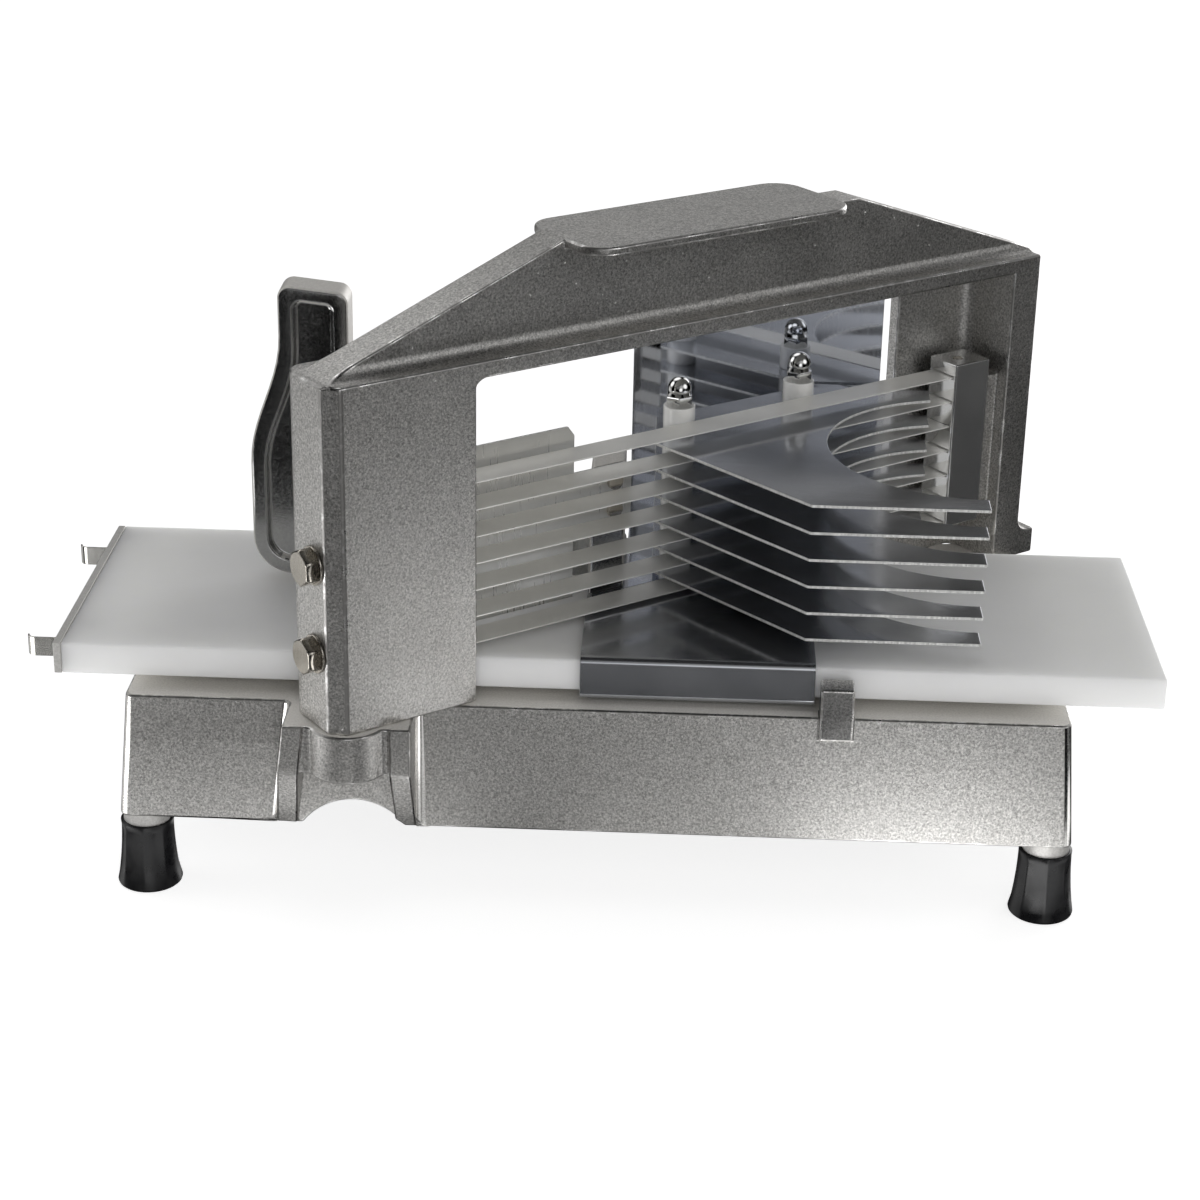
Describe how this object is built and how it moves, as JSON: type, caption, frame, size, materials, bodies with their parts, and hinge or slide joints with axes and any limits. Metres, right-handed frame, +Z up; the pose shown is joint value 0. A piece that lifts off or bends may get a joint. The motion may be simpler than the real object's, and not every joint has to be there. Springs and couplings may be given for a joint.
{
  "type": "tomato slicer",
  "caption": "Push tomato slicer: a plate pusher with a handle slides on a white board and drives the fruit through level blades in a slanted cast bridge",
  "frame": {"origin": "On the table under the middle of the whole object's box", "axes": "+X along the board towards the outlet end, +Y to the rear, +Z up"},
  "size_m": [0.4432, 0.2332, 0.2605],
  "materials": {
    "cast_aluminium": "shot-blasted casting with rubbed edges",
    "polished_casting": "polished casting",
    "black_rubber": "smooth moulded rubber",
    "white_board": "satin polyethylene",
    "end_bar_metal": "sawn bar",
    "spring_steel": "bright strip",
    "fastener_steel": "turned stainless steel",
    "blade_steel": "ground steel",
    "holder_steel": "polished steel",
    "polished_sheet": "polished stainless sheet",
    "mirror_sheet": "mirror stainless sheet",
    "white_sleeves": "translucent white plastic",
    "bright_nuts": "bright plated nut"
  },
  "bodies": {
    "stand": {"base_casting": "cast_aluminium", "foot_front_left": "black_rubber", "foot_front_right": "black_rubber", "foot_rear_left": "black_rubber", "foot_rear_right": "black_rubber", "foot_studs": "fastener_steel", "slide_board": "white_board", "board_screws": "fastener_steel", "end_bar": "end_bar_metal", "end_clip_front": "spring_steel", "end_clip_rear": "spring_steel", "clip_screws": "fastener_steel", "blade_frame": "cast_aluminium", "frame_bolts": "fastener_steel", "tension_bolts": "fastener_steel", "anchor_bolts": "fastener_steel", "holder_left": "holder_steel", "holder_right": "holder_steel", "blade_pins": "fastener_steel", "blade_1": "blade_steel", "blade_2": "blade_steel", "blade_3": "blade_steel", "blade_4": "blade_steel", "blade_5": "blade_steel", "blade_6": "blade_steel", "blade_7": "blade_steel"},
    "pusher": {"saddle": "polished_sheet", "back_plate": "mirror_sheet", "plate_1": "polished_sheet", "plate_2": "polished_sheet", "plate_3": "polished_sheet", "plate_4": "polished_sheet", "plate_5": "polished_sheet", "plate_6": "polished_sheet", "tie_rods": "fastener_steel", "spacers": "white_sleeves", "acorn_nuts": "bright_nuts", "handle": "polished_casting", "handle_studs": "fastener_steel", "handle_nuts": "fastener_steel", "hand_guard": "polished_sheet", "guard_screws": "fastener_steel"}
  },
  "joints": [
    {"name": "pusher_slide", "type": "slide", "parent": "stand", "child": "pusher", "axis": [1, 0, 0], "range_m": [-0.197, 0.0018]}
  ]
}
